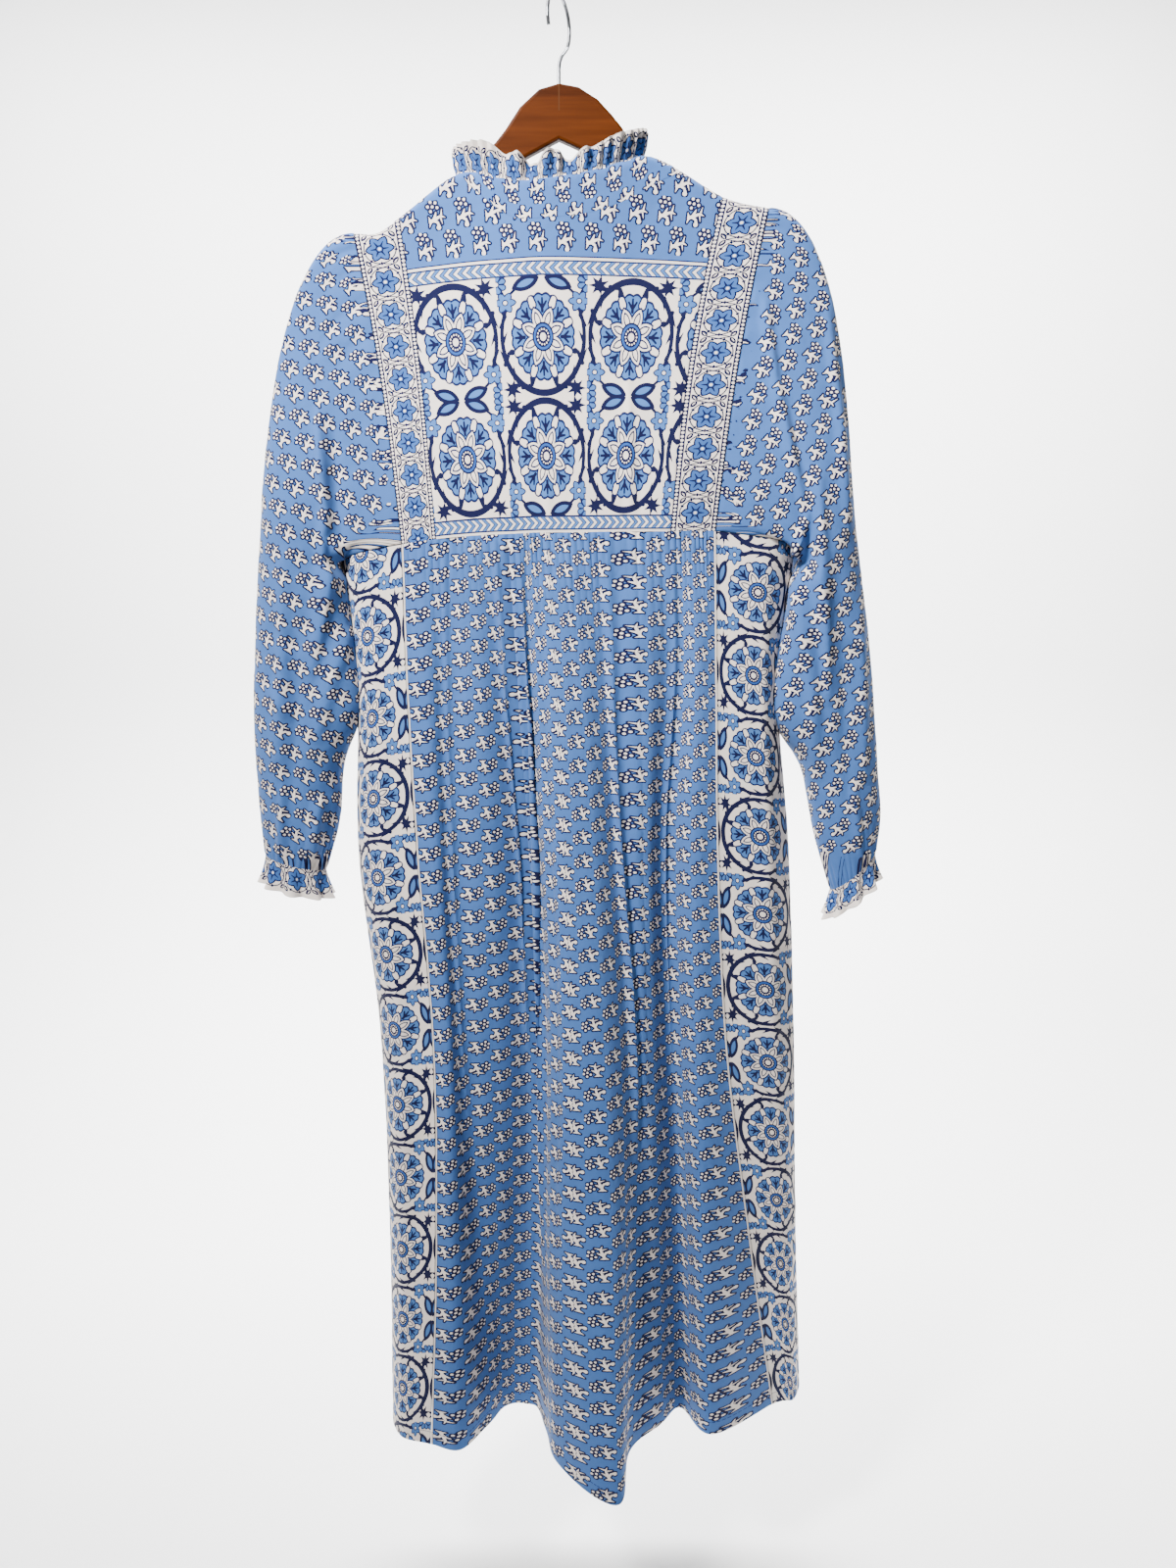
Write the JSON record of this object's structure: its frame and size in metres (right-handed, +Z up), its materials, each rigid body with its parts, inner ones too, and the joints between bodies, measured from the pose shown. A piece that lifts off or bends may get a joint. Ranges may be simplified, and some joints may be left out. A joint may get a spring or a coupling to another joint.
{
  "type": "long sleeve dress on a wooden hanger",
  "caption": "Long sleeve cotton dress with yoke, gathered skirt, side panels, neck frill and cuff frills, hanging open at neck, cuffs and hem on a flat wooden hanger with a wire hook",
  "frame": {"origin": "bearing point inside the top of the hanger's hook, where a rod or wall hook holds it", "axes": "+Z up, +X to the right of a viewer who faces the dress's back, -Y towards that viewer"},
  "size_m": [0.6297, 0.2059, 1.4192],
  "materials": {
    "sprig_print": "plain-woven cotton, light blue with small white sprigs outlined in navy",
    "border_print": "plain-woven cotton, medallions on off-white between chevron bands",
    "medallion_print": "plain-woven cotton, blue medallions in a navy scroll on off-white",
    "flower_vine_print": "plain-woven cotton, blue star flowers on a thin vine on off-white",
    "buttons": "satin, horn-coloured",
    "hanger_wood": "satin varnish, warm mid-brown",
    "hook_steel": "plain wire, slightly dull"
  },
  "bodies": {
    "root": {"back_neck_yoke": "sprig_print", "back_yoke": "border_print", "band_left": "flower_vine_print", "band_right": "flower_vine_print", "button_1": "buttons", "button_2": "buttons", "button_3": "buttons", "button_4": "buttons", "button_5": "buttons", "cuff_frill_left": "flower_vine_print", "cuff_frill_right": "flower_vine_print", "front_yoke_left": "sprig_print", "front_yoke_right": "sprig_print", "hanger_hook": "hook_steel", "hanger_wood": "hanger_wood", "neck_frill": "flower_vine_print", "placket": "sprig_print", "side_panel_left": "medallion_print", "side_panel_right": "medallion_print", "skirt_back": "sprig_print", "skirt_front": "sprig_print", "sleeve_left": "sprig_print", "sleeve_right": "sprig_print"}
  },
  "joints": []
}
